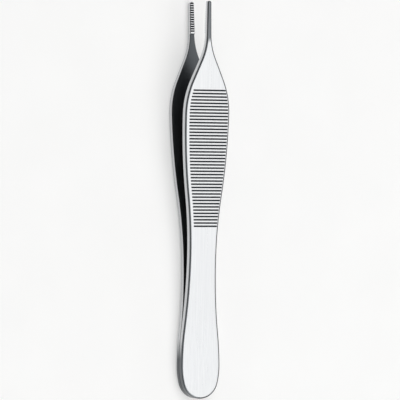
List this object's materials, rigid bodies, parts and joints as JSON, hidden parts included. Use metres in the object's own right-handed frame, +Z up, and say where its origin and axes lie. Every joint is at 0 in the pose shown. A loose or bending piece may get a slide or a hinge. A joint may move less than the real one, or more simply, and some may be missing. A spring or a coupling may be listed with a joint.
{
  "type": "thumb forceps",
  "caption": "Slender steel thumb forceps with two sprung arms joined at a rounded heel, broad cross-grooved finger plates and fine cross-toothed tips.",
  "frame": {"origin": "centre of the bounding box in plan, at the level of the surface that the forceps lies on", "axes": "+Y along the forceps from heel to tips, +X across the arms, +Z up"},
  "size_m": [0.015, 0.1202, 0.0136],
  "materials": {
    "steel": "satin"
  },
  "bodies": {
    "root": {"upper_arm": "steel", "lower_arm": "steel"}
  },
  "joints": []
}
